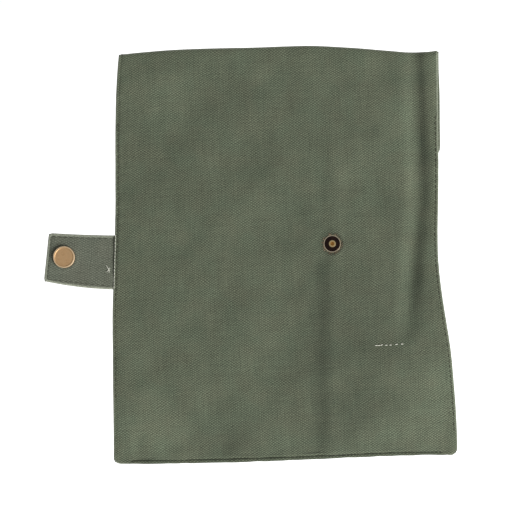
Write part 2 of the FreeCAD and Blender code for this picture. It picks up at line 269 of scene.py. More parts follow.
def end_patch(outline, edge_x, at_left, u, v):
    """Grid between a slanted case side and the upright line edge_x, rows v and columns u from 0 to 1."""
    low = corner_of(outline, at_left, True)
    high = corner_of(outline, at_left, False)
    side = outline.left if at_left else outline.right
    side_y = low[1] + v * (high[1] - low[1])
    side_x = side(side_y)
    line_low, line_high = outline.bottom(edge_x), outline.top(edge_x)
    line_y = line_low + v * (line_high - line_low)
    share = u if at_left else 1 - u
    low_x = low[0] + share * (edge_x - low[0])
    high_x = high[0] + share * (edge_x - high[0])
    low_y, high_y = outline.bottom(low_x), outline.top(high_x)
    s, t = share[None, :], v[:, None]
    x = (1 - s) * side_x[:, None] + s * edge_x
    y = (1 - s) * side_y[:, None] + s * line_y[:, None]
    chord_low = (1 - share) * low[1] + share * line_low
    chord_high = (1 - share) * high[1] + share * line_high
    y = y + (1 - t) * (low_y - chord_low)[None, :] + t * (high_y - chord_high)[None, :]
    return x, y


def case_grid(outline, pitch, fine):
    """Grid over all eight panels. Gives x, y and the column of each panel's middle line."""
    height = outline.top(0.0) - outline.bottom(0.0)
    v = steps(height, pitch, fine, fine) / height
    columns, middles, start = [], [], 0
    lines = [None] + FOLDS + [None]
    for k in range(PANELS):
        if lines[k] is None or lines[k + 1] is None:
            at_left = lines[k] is None
            edge_x = FOLDS[0] if at_left else FOLDS[-1]
            side_x = outline.left(0.0) if at_left else outline.right(0.0)
            width = abs(edge_x - side_x)
            u = steps(width, pitch, fine and at_left, fine and not at_left) / width
            x, y = end_patch(outline, edge_x, at_left, u, v)
            middle = int(np.argmin(np.abs(u - 0.5)))
        else:
            width = lines[k + 1] - lines[k]
            half = max(2, round(width / 2 / pitch))
            row = np.linspace(lines[k], lines[k + 1], 2 * half + 1)
            low, high = outline.bottom(row), outline.top(row)
            x = np.repeat(row[None, :], len(v), 0)
            y = low[None, :] + v[:, None] * (high - low)[None, :]
            middle = half
        first = 0 if k == 0 else 1
        middles.append(start + middle - first)
        columns.append((x[:, first:], y[:, first:]))
        start += x.shape[1] - first
    x = np.concatenate([c[0] for c in columns], 1)
    y = np.concatenate([c[1] for c in columns], 1)
    return x, y, middles


# ---- shape of the spread cloth
RIDGE = np.array([(50.6, -141.0), (55.0, -67.0), (59.0, 1.0), (62.7, 62.0), (64.0, 140.0)])
VALLEY = np.array([(111.0, -70.0), (115.0, -36.0), (119.4, -2.0), (123.8, 32.0),
                   (125.7, 83.0), (126.5, 127.0)])
# Dents (-) and humps (+) of the face: x, y, half width, half height, amount.
DENTS = [(-20.0, -129.0, 7.0, 5.0, -0.9), (-81.0, -126.0, 5.0, 9.0, -0.8), (-50.0, -131.0, 11.0, 4.0, 0.5),
         (-71.0, 14.0, 9.0, 16.0, -0.6), (98.0, -112.0, 16.0, 12.0, 0.7), (20.0, -100.0, 18.0, 20.0, 0.5)]
RELIEF_WAVES = ((0.36, 58, 11), (0.11, 21, 12), (0.03, 8, 13))
TONE_WAVES = ((0.03, 44.0, 15), (0.02, 17.0, 16))
HEM_WAVES = ((0.12, 7.0, 14),)
# Painted light (+) and painted shade (-) on the cloth: x, y, half width, half height, amount.
PAINTED_LIGHT_SPOTS = [(-62.0, 122.0, 26.0, 22.0, 0.22), (-72.0, -118.0, 24.0, 24.0, 0.26),
         (128.0, -104.0, 18.0, 22.0, 0.24), (100.0, -122.0, 24.0, 12.0, 0.12),
         (-18.0, -128.0, 12.0, 12.0, -0.24), (131.0, 100.0, 4.0, 60.0, 0.12),
         (70.0, -50.0, 42.0, 66.0, -0.16), (112.0, -30.0, 14.0, 40.0, -0.1),
         (30.0, 128.0, 60.0, 16.0, 0.06), (62.0, -96.0, 16.0, 36.0, -0.1),
         (112.0, 78.0, 10.0, 26.0, 0.12)]


def mottling_and_painted_light(x, y):
    """Slight random mottling, with painted light (+) and painted shade (-) on the outer face: spots, a band
    left of the ridge and bands along the valley; without the cloth's own weave.
    """
    tone = add_spots(wave_sum(x, y, TONE_WAVES), x, y, PAINTED_LIGHT_SPOTS)
    # Painted shade in a band left of the ridge below the stud.
    d = line_offset(RIDGE, x, y)
    below = 1 - smooth(y, -30, 10)
    tone = tone - 0.2 * bump(d + 6.0, 7.0) * below
    # Painted shade along the valley and its narrow upper crease, painted light in a band beside it.
    d = line_offset(VALLEY, x, y)
    valley = smooth(y, -75, -25)
    tone = tone - 0.16 * bump(d + 0.5, 1.6) * smooth(y, 45, 70)
    return tone - 0.2 * bump(d, 4.0) * valley + 0.1 * bump(d + 11.0, 4.0) * valley


def line_offset(line, x, y):
    return x - np.interp(y, line[:, 1], line[:, 0])


def relief(x, y):
    """How far the spread cloth stands above or below its flat CAD face."""
    h = wave_sum(x, y, RELIEF_WAVES)
    d = line_offset(RIDGE, x, y)
    h = h + 0.6 * bump(d, 6.0) * (1 - 0.75 * smooth(y, 30, 90)) + 0.35 * bump(d + 16, 9.0)
    d = line_offset(VALLEY, x, y)
    strength = smooth(y, -75, -10) * (1 - 0.35 * smooth(y, 30, 110))
    h = h - 2.6 * bump(d + 4.5, 6.0) * strength
    h = add_spots(h, x, y, DENTS)
    r = np.hypot(x - STUD[0], y - STUD[1])
    turn = np.arctan2(y - STUD[1], x - STUD[0])
    h = h * (1 - bump(r, 9.0))
    h = h + 0.55 * bump(r - STUD_R - 1.7, 1.5) + 0.16 * np.cos(5 * turn + 1) * bump(r - 11, 4.5)
    return h


def edge_shape(x, y):
    """How the cloth rolls down at its edges, with the grooves pulled in by the topstitching."""
    left, right = x - CASE.left(y), CASE.right(y) - x
    low, high = y - CASE.bottom(x), CASE.top(x) - y
    roll = 0.45 * np.exp(-left / 0.9) + 0.45 * np.exp(-right / 0.9)
    welt = welt_strength(x)
    roll = roll + (0.5 + 0.9 * welt) * np.exp(-low / (0.8 + 0.9 * welt)) + 1.0 * np.exp(-high / 1.3)
    roll = roll + 0.75 * welt * bump(low - SEAM_RISE, 1.0)
    pucker = 0.5 + 0.5 * np.cos(2 * math.pi * y / STITCH["pitch"])
    groove = 0.2 + 0.1 * pucker
    groove = groove * (bump(left - 2.0, 0.6) + bump(right - 2.0, 0.6) * right_stitched(y))
    hem = wave_sum(x, y, HEM_WAVES) * (bump(left, 4.0) + bump(right, 4.0) + bump(low, 4.0))
    return hem - roll - groove


def welt_strength(x):
    """1 along the rolled bottom edge, 0 at the two bottom corners where it runs out."""
    left, right = CASE.left(CASE.low_y + 6), CASE.right(CASE.low_y + 6)
    return smooth(x, left + 3, left + 15) * (1 - smooth(x, right - 14, right - 4))


def right_stitched(y):
    return 1 - 0.4 * smooth(y, 55, 65)


def tab_drop(x, y):
    """Room under the strap's sewn end: the inner plies pass below it."""
    across = smooth(y, -24, -20) * (1 - smooth(y, 20, 24))
    return 1.4 * across * (1 - smooth(x, STRAP_TAB_X + 0.5, STRAP_TAB_X + 5))


def channel_bell(x, y):
    """1 on the crest of each brush channel, 0 at the sewn lines and at the closed bottom."""
    bell = np.zeros_like(x)
    lines = [POCKET_SPAN[0]] + FOLDS + [POCKET_SPAN[1]]
    for low, high in zip(lines, lines[1:]):
        middle = (low + high) / 2
        reach = (high - low) / 2 - CHANNEL_GAP - CREST / 2
        t = np.clip((np.abs(x - middle) - CREST / 2) / reach, 0, 1)
        inside = np.abs(x - middle) < (high - low) / 2
        bell = np.where(inside, 0.5 + 0.5 * np.cos(math.pi * t), bell)
    return bell * smooth(y, CLOSE_TO, CLOSE_FROM)


# ---- materials
class Nodes:
    """Short way to write a shader's node tree."""

    def __init__(self, name):
        self.material = bpy.data.materials.new(name)
        self.material.use_nodes = True
        self.tree = self.material.node_tree
        self.shader = self.tree.nodes["Principled BSDF"]

    def add(self, kind, **values):
        node = self.tree.nodes.new("ShaderNode" + kind)
        for key, value in values.items():
            setattr(node, key, value)
        return node

    def feed(self, socket, value):
        if hasattr(value, "is_linked"):
            self.tree.links.new(value, socket)
        else:
            socket.default_value = value

    def math(self, operation, a, b=0.0, c=0.0):
        node = self.add("Math", operation=operation)
        for socket, value in zip(node.inputs, (a, b, c)):
            self.feed(socket, value)
        return node.outputs[0]

    def times(self, a, b):
        return self.math("MULTIPLY", a, b)

    def sum_of(self, a, b, c):
        """a * b + c"""
        return self.math("MULTIPLY_ADD", a, b, c)

    def vector_math(self, operation, a, b=(0.0, 0.0, 0.0)):
        node = self.add("VectorMath", operation=operation)
        self.feed(node.inputs[0], a)
        self.feed(node.inputs[1], b)
        return node.outputs

    def scaled(self, vector, factor):
        node = self.add("VectorMath", operation="SCALE")
        self.feed(node.inputs[0], vector)
        self.feed(node.inputs["Scale"], factor)
        return node.outputs[0]

    def flat_uv(self):
        return self.add("UVMap", uv_map="flat").outputs[0]

    def parts(self, vector):
        node = self.add("SeparateXYZ")
        self.feed(node.inputs[0], vector)
        return node.outputs

    def spread(self, value, low, high, new_low=0.0, new_high=1.0):
        node = self.add("MapRange")
        for socket, number in zip(node.inputs, (value, low, high, new_low, new_high)):
            self.feed(socket, number)
        return node.outputs[0]

    def vector(self, x, y, z=0.0):
        node = self.add("CombineXYZ")
        for socket, value in zip(node.inputs, (x, y, z)):
            self.feed(socket, value)
        return node.outputs[0]

    def noise(self, vector, scale, detail=2.0, roughness=0.5):
        node = self.add("TexNoise")
        self.feed(node.inputs["Vector"], vector)
        node.inputs["Scale"].default_value = scale
        node.inputs["Detail"].default_value = detail
        node.inputs["Roughness"].default_value = roughness
        return node.outputs["Fac"]

    def mix(self, share, a, b):
        node = self.add("Mix", data_type="RGBA")
        self.feed(node.inputs[0], share)
        self.feed(node.inputs[6], a)
        self.feed(node.inputs[7], b)
        return node.outputs[2]

    def bump(self, height, distance, strength):
        node = self.add("Bump")
        self.feed(node.inputs["Height"], height)
        node.inputs["Distance"].default_value = distance
        node.inputs["Strength"].default_value = strength
        return node.outputs[0]

    def attribute(self, name):
        return self.add("Attribute", attribute_name=name).outputs["Fac"]

    def finish(self, color, roughness, normal, **others):
        self.feed(self.shader.inputs["Base Color"], color)
        self.feed(self.shader.inputs["Roughness"], roughness)
        self.feed(self.shader.inputs["Normal"], normal)
        for key, value in others.items():
            self.feed(self.shader.inputs[key.replace("_", " ")], value)
        return self.material


UV_SCALE = 100.0
# Pitch of the yarns in mm, the two ways of the cloth.
YARN = (1.22, 0.81)
STRAP_YARN = (0.82, 1.5)
# How much the two slubs, grain, fuzz and patches lighten or darken the cloth.
TONE_SHARES = (0.4, 0.4, 1.5, 0.7, 0.12)
# How dark a "shade" attribute of 1 makes the cloth.
SHADE_DEPTH = 0.75


def cloth(name, color, brown, contrast=0.62, yarn=YARN, wear_color=(150, 156, 138)):
    """Cotton cloth: crossing yarns, slubs, fibre fuzz, mottling, pale edges that are partly worn and partly
    a painted highlight, and painted shade from the shade attribute.
    """
    n = Nodes(name)
    flat = n.scaled(n.flat_uv(), UV_SCALE)
    part = n.parts(flat)
    sway = n.noise(flat, 0.09, 1.0)
    lean = n.noise(n.vector(part[1], part[0], 7.0), 0.11, 1.0)
    jog = n.noise(flat, 0.55, 2.0, 0.6)
    x = n.sum_of(jog, 0.7, n.sum_of(sway, 2.4, part[0]))
    y = n.sum_of(jog, -0.6, n.sum_of(lean, 2.0, part[1]))
    across = n.math("COSINE", n.times(x, math.pi / yarn[0]))
    along = n.math("COSINE", n.times(y, math.pi / yarn[1]))
    cross = n.times(across, along)
    crown = n.math("POWER", n.math("ABSOLUTE", cross), 0.6)
    warp_slub = n.noise(n.vector(n.times(x, 0.9), n.times(y, 0.035)), 1.0, 2.0)
    weft_slub = n.noise(n.vector(n.times(x, 0.03), n.times(y, 1.3), 3.0), 1.0, 2.0)
    grain = n.noise(flat, 1.0, 3.0, 0.75)
    fuzz = n.noise(flat, 4.0, 2.0, 0.7)
    patch = n.noise(flat, 0.035, 3.0, 0.55)
    hue = n.noise(n.vector(part[0], part[1], 40.0), 0.05, 3.0, 0.6)
    tone = n.sum_of(cross, contrast, 1.0)
    tone = n.sum_of(n.math("SUBTRACT", crown, 0.55), contrast * 0.6, tone)
    for source, share in zip((warp_slub, weft_slub, grain, fuzz, patch), TONE_SHARES):
        tone = n.sum_of(n.math("SUBTRACT", source, 0.5), share, tone)
    tinted = n.mix(n.spread(hue, 0.36, 0.64), srgb(*color), srgb(*brown))
    shade = n.scaled(tinted, tone)
    # Pale edges: partly worn cloth, partly a painted edge highlight; the shade attribute below darkens the
    # cloth with painted shade.
    worn_and_lit = n.times(n.attribute("wear"), n.spread(grain, 0.3, 0.65, 0.25, 1.0))
    deep = n.math("SUBTRACT", 1.0, n.times(n.attribute("shade"), SHADE_DEPTH))
    final = n.mix(worn_and_lit, n.scaled(shade, deep), srgb(*wear_color))
    height = n.math("ADD", n.times(crown, 0.6), n.times(fuzz, 0.35))
    height = n.sum_of(warp_slub, 0.5, height)
    height = n.sum_of(weft_slub, 0.5, height)
    normal = n.bump(height, 0.16 * MM, 0.8)
    return n.finish(final, n.spread(grain, 0.3, 0.7, 0.82, 0.95), normal,
                    Specular_IOR_Level=0.18, Sheen_Weight=0.12, Sheen_Roughness=0.5)


def thread(name, color, light):
    """Twisted sewing thread: slanted ply lines along each stitch."""
    n = Nodes(name)
    part = n.parts(n.flat_uv())
    slant = n.math("ADD", n.times(part[0], 26.0), n.times(part[1], 6.28))
    ply = n.math("SINE", slant)
    fuzz = n.noise(n.vector(part[0], part[1]), 9.0, 3.0, 0.7)
    color_mix = n.mix(n.spread(n.sum_of(fuzz, 1.4, ply), -0.6, 1.9), srgb(*color), srgb(*light))
    normal = n.bump(n.sum_of(fuzz, 0.5, ply), 0.05 * MM, 0.8)
    return n.finish(color_mix, 0.72, normal, Specular_IOR_Level=0.3, Sheen_Weight=0.15)


def centre_distance(n, centre):
    """Distance from a snap part's own axis, in mm."""
    place = n.add("TexCoord").outputs["Object"]
    away = n.vector_math("SUBTRACT", place, (centre[0] * MM, centre[1] * MM, 0.0))[0]
    flat = n.vector_math("MULTIPLY", away, (1 / MM, 1 / MM, 0.0))[0]
    return place, n.vector_math("LENGTH", flat)["Value"]


def ramp(n, value, stops):
    node = n.add("ValToRGB")
    while len(node.color_ramp.elements) < len(stops):
        node.color_ramp.elements.new(0.5)
    for element, (place, color) in zip(node.color_ramp.elements, stops):
        element.position = place
        element.color = srgb(*color)
    n.feed(node.inputs[0], value)
    return node.outputs[0]


def metal(name, centre, reach, stops, roughness):
    """Antique plated brass: colour by distance from the axis, tarnish, fine scratches and dents."""
    n = Nodes(name)
    place, distance = centre_distance(n, centre)
    base = ramp(n, n.spread(distance, 0.0, reach), stops)
    cloud = n.noise(place, 420.0, 5.0, 0.65)
    speck = n.noise(place, 2600.0, 3.0, 0.7)
    scratch = n.add("Mapping")
    n.feed(scratch.inputs["Vector"], place)
    scratch.inputs["Rotation"].default_value = (0.0, 0.0, 0.5)
    scratch.inputs["Scale"].default_value = (300.0, 9000.0, 300.0)
    line = n.noise(scratch.outputs[0], 1.0, 2.0)
    aged = n.mix(n.spread(cloud, 0.48, 0.78, 0.0, 0.3), base, srgb(*TARNISH))
    aged = n.mix(n.spread(speck, 0.62, 0.75, 0.0, 0.3), aged, srgb(*TARNISH))
    rough = n.math("ADD", n.spread(cloud, 0.3, 0.7, *roughness), n.times(line, 0.08))
    height = n.sum_of(line, 0.25, cloud)
    return n.finish(aged, rough, n.bump(height, 0.03 * MM, 0.5), Metallic=1.0)


TARNISH = (92, 66, 44)
CAP_ROUGHNESS = (0.5, 0.68)
METAL_ROUGHNESS = (0.14, 0.3)
CLOTH_GREEN = (86, 94, 77)
CLOTH_BROWN = (89, 94, 77)
MATERIALS = {
    "shell": cloth("shell_twill", CLOTH_GREEN, CLOTH_BROWN),
    "strap": cloth("strap_twill", (97, 102, 89), (98, 101, 88), 0.42, STRAP_YARN, (176, 180, 162)),
    "lining": cloth("lining_cloth", (80, 87, 71), (84, 86, 70), 0.45, (0.9, 0.9)),
    "pocket": cloth("pocket_cloth", CLOTH_GREEN, CLOTH_BROWN),
    "flap": cloth("flap_cloth", CLOTH_GREEN, CLOTH_BROWN),
    "dark_thread": thread("dark_thread", (34, 36, 26), (74, 74, 56)),
    "frayed": thread("frayed_fibre", (92, 66, 50), (150, 138, 112)),
    "pale_thread": thread("pale_thread", (196, 196, 178), (246, 246, 234)),
}
# Snap parts: material, axis, radius, and colour stops from the axis (0) to the rim (1).
METALS = {
    # Cap: the pale ring near the rim is a painted highlight and the dark outermost edge a painted shadow.
    "snap_cap": ("cap_brass", CAP, CAP_R,
                 [(0.0, (206, 172, 130)), (0.86, (204, 170, 128)), (0.95, (246, 224, 190)),
                  (1.0, (120, 92, 66))]),
    "snap_socket": ("socket_brass", CAP, CAP_R,
                    [(0.0, (120, 92, 62)), (0.5, (176, 142, 98)), (0.9, (190, 156, 110)),
                     (1.0, (110, 84, 56))]),
    "snap_spring": ("spring_steel", CAP, CAP_R,
                    [(0.0, (150, 150, 150)), (1.0, (172, 170, 166))]),
    # Stud: the pale ring round the knob and the near-white outer rim are painted highlights; the dark dish
    # between them is patina.
    "snap_stud": ("stud_brass", STUD, STUD_R,
                  [(0.0, (170, 118, 58)), (0.2, (208, 162, 92)), (0.36, (246, 222, 170)),
                   (0.42, (70, 48, 42)), (0.62, (48, 38, 38)), (0.88, (66, 46, 42)),
                   (0.93, (255, 242, 216)), (1.0, (236, 214, 178))]),
    "snap_post": ("post_brass", STUD, STUD_R,
                  [(0.0, (120, 92, 62)), (0.5, (176, 142, 98)), (1.0, (140, 110, 72))]),
}


# ---- meshes
def make_mesh(name, points, faces, uv, normals, wear, flat_faces, material, shade=None):
    """points, uv, normals, wear and shade are by vertex; flat_faces marks faces shaded flat."""
    mesh = bpy.data.meshes.new(name)
    mesh.from_pydata((points * MM).tolist(), [], faces)
    loops = np.zeros(len(mesh.loops), int)
    mesh.loops.foreach_get("vertex_index", loops)
    layer = mesh.uv_layers.new(name="flat")
    layer.data.foreach_set("uv", (uv[loops] / UV_SCALE).astype(np.float32).ravel())
    for label, values in (("wear", wear), ("shade", wear * 0 if shade is None else shade)):
        attribute = mesh.attributes.new(label, "FLOAT", "POINT")
        attribute.data.foreach_set("value", values.astype(np.float32))
    mesh.polygons.foreach_set("use_smooth", [not flat for flat in flat_faces])
    mesh.materials.append(MATERIALS[material])
    corner = normals[loops]
    size = [len(face) for face in faces]
    corner[np.repeat(np.array(flat_faces), size)] = 0
    mesh.normals_split_custom_set(corner.tolist())
    mesh.update()
    return placed(name, mesh)


def placed(name, data):
    obj = bpy.data.objects.new(name, data)
    bpy.context.scene.collection.objects.link(obj)
    return obj


def grid_normals(points):
    across = np.gradient(points, axis=1)
    along = np.gradient(points, axis=0)
    return unit(np.cross(across, along))


def outward(x, y):
    """Unit vectors pointing off the cloth at the border of a grid, 0 inside."""
    away = np.zeros(x.shape + (3,))
    flat = np.stack([x, y, np.zeros_like(x)], -1)
    down = np.gradient(flat, axis=0)
    over = np.gradient(flat, axis=1)
    away[:, 0] += unit(np.cross(down[:, 0], (0, 0, -1.0)))
    away[:, -1] += unit(np.cross(down[:, -1], (0, 0, 1.0)))
    away[0] += unit(np.cross(over[0], (0, 0, 1.0)))
    away[-1] += unit(np.cross(over[-1], (0, 0, -1.0)))
    return away


def border(rows, columns):
    """Grid border, anticlockwise from above, with the side each step runs along."""
    loop = [(0, c, "low") for c in range(columns - 1)]
    loop += [(r, columns - 1, "right") for r in range(rows - 1)]
    loop += [(rows - 1, c, "high") for c in range(columns - 1, 0, -1)]
    loop += [(r, 0, "left") for r in range(rows - 1, 0, -1)]
    return loop


class Sheet:
    """A cloth sheet as an upper and a lower grid, cut into pieces that each span one fold."""

    def __init__(self, top, bottom, normals, away, radius, wear, uv, shade):
        self.top, self.bottom = top, bottom
        self.top_normal, self.bottom_normal = normals
        self.away, self.radius = away, radius
        self.wear, self.uv, self.shade = wear, uv, shade

    def piece(self, name, first, last, material):
        """Closed solid of the columns first to last, round at the sheet's real edges."""
        cut = slice(first, last + 1)
        top, bottom = self.top[:, cut], self.bottom[:, cut]
        rows, columns = top.shape[:2]
        count = rows * columns
        closed = {"left": first > 0, "right": last < self.top.shape[1] - 1, "low": False, "high": False}
        away = self.away[:, cut].copy()
        index = np.arange(count).reshape(rows, columns)
        loop = border(rows, columns)
        ring = [(r, c) for r, c, _ in loop]
        r_i, c_i = np.array(ring).T
        size = len(ring)
        for side, column in (("left", 0), ("right", -1)):
            if closed[side]:
                away[1:-1, column] = 0
                away[:, column, 0] = 0
        out = away[r_i, c_i]
        half = (top[r_i, c_i] - bottom[r_i, c_i]) / 2
        middle = (top[r_i, c_i] + bottom[r_i, c_i]) / 2
        radius = self.radius[:, cut][r_i, c_i][:, None]
        points = [top.reshape(-1, 3), bottom.reshape(-1, 3)]
        normals = [self.top_normal[:, cut].reshape(-1, 3), self.bottom_normal[:, cut].reshape(-1, 3)]
        uv = [self.uv[:, cut].reshape(-1, 2)] * 2
        wear = [self.wear[:, cut].ravel()] * 2
        shade = [self.shade[:, cut].ravel()] * 2
        ring_uv = self.uv[:, cut][r_i, c_i]
        ring_wear = self.wear[:, cut][r_i, c_i]
        for j in range(1, RIM_RINGS + 1):
            turn = math.pi * j / (RIM_RINGS + 1)
            points.append(middle + math.cos(turn) * half + math.sin(turn) * radius * out)
            normals.append(unit(math.cos(turn) * unit(half) + math.sin(turn) * unit(out + 1e-9)))
            uv.append(ring_uv + out[:, :2] * radius * turn)
            wear.append(ring_wear)
            shade.append(self.shade[:, cut][r_i, c_i])
        rings = [index[r_i, c_i]]
        rings += [2 * count + j * size + np.arange(size) for j in range(RIM_RINGS)]
        rings.append(count + index[r_i, c_i])
        quads = np.stack([index[:-1, :-1], index[:-1, 1:], index[1:, 1:], index[1:, :-1]], -1).reshape(-1, 4)
        faces = quads.tolist() + (quads[:, ::-1] + count).tolist()
        flat = [False] * len(faces)
        for upper, lower in zip(rings, rings[1:]):
            for i in range(size):
                k = (i + 1) % size
                faces.append([int(upper[i]), int(lower[i]), int(lower[k]), int(upper[k])])
                flat.append(closed[loop[i][2]])
        return make_mesh(name, np.concatenate(points), faces, np.concatenate(uv),
                         np.concatenate(normals), np.concatenate(wear), flat, material,
                         np.concatenate(shade))


def level_sheet(x, y, upper, thickness, wear, uv=None, shade=None):
    """Sheet over a level grid, its lower side straight below the upper one."""
    top = np.stack([x, y, upper], -1)
    bottom = top - np.array([0, 0, 1.0]) * np.broadcast_to(thickness, x.shape)[..., None]
    return Sheet(top, bottom, (grid_normals(top), -grid_normals(bottom)), outward(x, y),
                 np.broadcast_to(thickness, x.shape) / 2, wear,
                 np.stack([x, y], -1) if uv is None else uv, wear * 0 if shade is None else shade)


def roll_faces(rows, spin):
    """Side faces and the two end faces of a roll of `rows` rings with `spin` points each."""
    index = np.arange(rows * spin).reshape(rows, spin)
    after = np.roll(index, -1, 1)
    quads = np.stack([index[:-1], index[1:], after[1:], after[:-1]], -1).reshape(-1, 4)[:, ::-1]
    return quads, index[0], index[-1][::-1]


def tube(name, path, radii, material, spin=24, shade=0.0, uv=None):
    """Oval roll along a mostly level path; radii are (level, upright) at each path point.

    Without uv the weave runs on from the cloth; with it, uv is the texture length per mm.
    """
    forward = unit(np.gradient(path, axis=0))
    side = unit(np.cross((0, 0, 1.0), forward))
    up = unit(np.cross(forward, side))
    turn = np.linspace(0, 2 * math.pi, spin, endpoint=False)
    cos, sin = np.cos(turn)[None, :, None], np.sin(turn)[None, :, None]
    wide, tall = radii[:, None, :1], radii[:, None, 1:]
    points = path[:, None] + side[:, None] * cos * wide + up[:, None] * sin * tall
    normals = unit(side[:, None] * cos * tall + up[:, None] * sin * wide)
    rows = len(path)
    quads, start, end = roll_faces(rows, spin)
    faces = quads.tolist() + [start.tolist(), end.tolist()]
    flat = [False] * len(quads) + [True, True]
    if uv is None:
        around = turn[None, :] * radii[:, 1:]
        uv = np.stack([np.repeat(path[:, :1], spin, 1), path[:, 1:2] + around], -1)
    else:
        length = np.concatenate([[0], np.cumsum(np.linalg.norm(np.diff(path, axis=0), axis=1))])
        uv = np.stack([np.repeat(length[:, None] * UV_SCALE * uv, spin, 1),
                       np.repeat(turn[None] / (2 * math.pi), rows, 0) * UV_SCALE], -1)
    return make_mesh(name, points.reshape(-1, 3), faces, uv.reshape(-1, 2), normals.reshape(-1, 3),
                     np.zeros(rows * spin), flat, material, np.full(rows * spin, shade))


# Points along a stitch from end to end, and its thickness there.
STATIONS = np.array([-1.0, -0.86, -0.55, 0.0, 0.55, 0.86, 1.0])
THICK = np.array([0.35, 0.72, 0.96, 1.0, 0.96, 0.72, 0.35])


def stitches(name, centres, directions, ups, material, length, width, height, sink=0.08):
    """One mesh of arched stitches whose ends go down into the cloth."""
    spin = 8
    turn = np.linspace(0, 2 * math.pi, spin, endpoint=False)
    side = unit(np.cross(ups, directions))
    rise = height * (1 - STATIONS ** 2) - sink - 0.5 * height
    place = (centres[:, None] + directions[:, None] * (STATIONS * length / 2)[None, :, None]
             + ups[:, None] * (rise + height)[None, :, None])
    wide = (width * THICK)[None, :, None, None]
    tall = (height * THICK)[None, :, None, None]
    cos, sin = np.cos(turn)[None, None, :, None], np.sin(turn)[None, None, :, None]
    ring = side[:, None, None] * cos * wide + ups[:, None, None] * sin * tall
    points = place[:, :, None] + ring
    count, rows = len(centres), len(STATIONS)
    quads, start, end = roll_faces(rows, spin)
    faces, flat = [], []
    for s in range(count):
        shift = s * rows * spin
        faces += (quads + shift).tolist()
        faces += [(start + shift).tolist(), (end + shift).tolist()]
        flat += [False] * (len(quads) + 2)
    along = np.broadcast_to(STATIONS[None, :, None] * 0.5 * UV_SCALE, (count, rows, spin))
    around = np.broadcast_to(turn[None, None] / (2 * math.pi) * UV_SCALE, (count, rows, spin))
    uv = np.stack([along, around], -1).reshape(-1, 2)
    return make_mesh(name, points.reshape(-1, 3), faces, uv, unit(ring).reshape(-1, 3),
                     np.zeros(count * rows * spin), flat, material)


# ---- helpers that bake pieces' transforms, hide the CAD nodes they stand for and cut sheets into panel pieces
def blend_along_x(obj):
    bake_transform(obj)


def blend_at_fold(obj):
    """Bakes obj's transform into its mesh; it is not bent at a fold here."""
    blend_along_x(obj)


def finish_piece(obj, slot_name, *nodes):
    """Hides the CAD nodes that obj stands for; slot_name is not used."""
    if nodes:
        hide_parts(*nodes)


def panel_pieces(sheet, middles, label, node, slot_name, material):
    """Cuts a sheet at the panels' middle lines, one piece for each fold."""
    last = sheet.top.shape[1] - 1
    for k in range(1, PANELS):
        first = 0 if k == 1 else middles[k - 1]
        end = last if k == PANELS - 1 else middles[k]
        piece = sheet.piece(f"{label}_{k}", first, end, material)
        blend_at_fold(piece)
        stands_for = [f"{node}_{k}"] + ([f"{node}_{PANELS}"] if k == PANELS - 1 else [])
        finish_piece(piece, slot_name, *stands_for)


# ---- outer shell
def shell_height(x, y):
    return FACE_Z + relief(x, y) + edge_shape(x, y)


def rounded_corners(x, y):
    """Moves the points of a grid near the two bottom corners of the case onto a rounded corner."""
    for edge, sign, radius in ((CASE.left(y), 1, CORNER_R[0]), (CASE.right(y), -1, CORNER_R[1])):
        u = np.clip(1 - sign * (x - edge) / radius, 0, 1)
        v = np.clip(1 - (y - CASE.bottom(x)) / radius, 0, 1)
        x = x + sign * radius * u * (1 - np.sqrt(1 - v * v / 2))
        y = y + radius * v * (1 - np.sqrt(1 - u * u / 2))
    return x, y


def build_shell():
    r = SHELL_T / 2
    area = CASE.inset(r, 0.0, r)
    area.bottom = lambda x: CASE.bottom(x) + r + 0.9 * welt_strength(x)
    x, y, middles = case_grid(area, PITCH, True)
    x, y = rounded_corners(x, y)
    left, right = x - CASE.left(y), CASE.right(y) - x
    low, high = y - CASE.bottom(x), CASE.top(x) - y
    near = np.minimum(np.minimum(left, right), np.minimum(high, low))
    # Pale rim along the shell's edges, strongest on the upper right edge: partly worn cloth, partly a
    # painted edge highlight.
    wear = 0.5 + 0.4 * (right < 3) * smooth(y, 50, 70)
    wear = wear * np.exp(-((near - r) / 0.6) ** 2) * (1 - welt_strength(x) * bump(low, 3.0))
    # Painted shade: a dark band in the seam groove above the welt and a dark ring just outside the stud's
    # rim; the face's lighter and darker spots and crease bands add painted light and shade, with slight
    # random mottling.
    seam = low - SEAM_RISE - 0.35 * waves(x, x * 0, 24.0, 24)
    shade = 1.0 * welt_strength(x) * bump(seam, 1.15) - mottling_and_painted_light(x, y) / SHADE_DEPTH
    around = np.hypot(x - STUD[0], y - STUD[1])
    shade = shade + 0.55 * bump(around - STUD_R - 0.7, 1.0)
    sheet = level_sheet(x, y, shell_height(x, y), SHELL_T, wear, None, shade)
    panel_pieces(sheet, middles, "shell_cloth", "outer_shell", "shell_twill", "shell")


# ---- lining and pocket
def inner_height(x, y, depth):
    return shell_height(x, y) - depth - tab_drop(x, y)


def build_lining():
    inset = SIDE_INSET + LINING_T / 2
    x, y, middles = case_grid(CASE.inset(inset, WELT_BAND + 0.4, inset), COARSE, False)
    sheet = level_sheet(x, y, inner_height(x, y, LINING_TOP), LINING_T, np.zeros_like(x))
    panel_pieces(sheet, middles, "lining_cloth", "lining", "lining_cloth", "lining")


def pocket_upper(x, y):
    flat = inner_height(x, y, POCKET_TOP)
    bell = channel_bell(x, y)
    return flat * (1 - bell) + POCKET_T * bell


